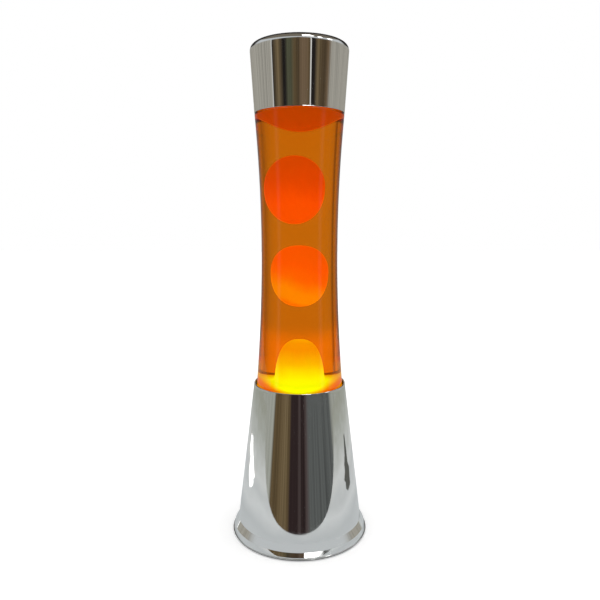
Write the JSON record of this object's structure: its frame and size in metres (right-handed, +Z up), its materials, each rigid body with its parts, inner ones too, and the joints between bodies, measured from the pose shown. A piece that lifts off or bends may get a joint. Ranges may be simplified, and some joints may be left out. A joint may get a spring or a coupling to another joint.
{
  "type": "lava lamp",
  "caption": "Lava lamp: a chromed cone base with a reflector bulb, a waisted glass bottle of amber liquid with molten wax blobs, and a lift-off chromed cap.",
  "frame": {"origin": "the middle of the floor under the feet", "axes": "+Z up along the lamp's axis of turning, -Y the front, +Y the back with the cord inlet"},
  "size_m": [0.1136, 0.1136, 0.395],
  "materials": {
    "chrome_plate": "polished",
    "zinc_steel": "satin",
    "holder_plastic": "satin",
    "contact_brass": "satin",
    "black_plastic": "matte",
    "black_rubber": "matte",
    "bulb_glass": "satin",
    "bulb_aluminium": "satin",
    "black_glass": "gloss",
    "solder": "satin",
    "stem_glass": "gloss",
    "hot_tungsten": "satin",
    "bottle_glass": "gloss",
    "amber_liquid": "gloss",
    "wax_yellow": "satin",
    "wax_orange": "satin",
    "wax_red_orange": "satin",
    "wax_dark_orange": "satin",
    "cap_tinplate": "gloss",
    "seal_plastic": "matte"
  },
  "bodies": {
    "base": {"base_shell": "chrome_plate", "bottle_seat": "zinc_steel", "holder_strap": "zinc_steel", "strap_screws": "zinc_steel", "lampholder_body": "holder_plastic", "lampholder_sleeve": "contact_brass", "lampholder_contact": "contact_brass", "terminal_screws": "contact_brass", "holder_nipple": "zinc_steel", "nipple_nut": "zinc_steel", "base_cover": "black_plastic", "fixing_tabs": "zinc_steel", "cover_screws": "zinc_steel", "rubber_feet": "black_rubber", "cord_grommet": "black_rubber"},
    "bulb": {"bulb_envelope": "bulb_glass", "bulb_screw_cap": "bulb_aluminium", "bulb_insulator": "black_glass", "bulb_tip": "solder", "bulb_stem": "stem_glass", "bulb_wires": "solder", "bulb_filament": "hot_tungsten"},
    "bottle": {"glass_bottle": "bottle_glass", "liquid": "amber_liquid", "wax_mound": "wax_yellow", "wax_top": "wax_dark_orange", "heating_coil": "zinc_steel", "crown_cap": "cap_tinplate", "crown_seal": "seal_plastic"},
    "lower_blob": {"wax_blob_lower": "wax_orange"},
    "upper_blob": {"wax_blob_upper": "wax_red_orange"},
    "cap": {"cap_shell": "chrome_plate"}
  },
  "joints": [
    {"name": "bottle_lift", "type": "slide", "parent": "base", "child": "bottle", "axis": [0, 0, 1], "range_m": [0, 0.06]},
    {"name": "cap_lift", "type": "slide", "parent": "bottle", "child": "cap", "axis": [0, 0, 1], "range_m": [0, 0.06]},
    {"name": "lower_blob_rise", "type": "slide", "parent": "bottle", "child": "lower_blob", "axis": [0, 0, 1], "range_m": [-0.02, 0.007], "deforming": ["liquid"]},
    {"name": "upper_blob_rise", "type": "slide", "parent": "bottle", "child": "upper_blob", "axis": [0, 0, 1], "range_m": [-0.007, 0.015], "deforming": ["liquid"]},
    {"name": "bulb_turn", "type": "hinge", "parent": "base", "child": "bulb", "pos_m": [0, 0, 0.045], "axis": [0, 0, 1], "continuous": true}
  ]
}
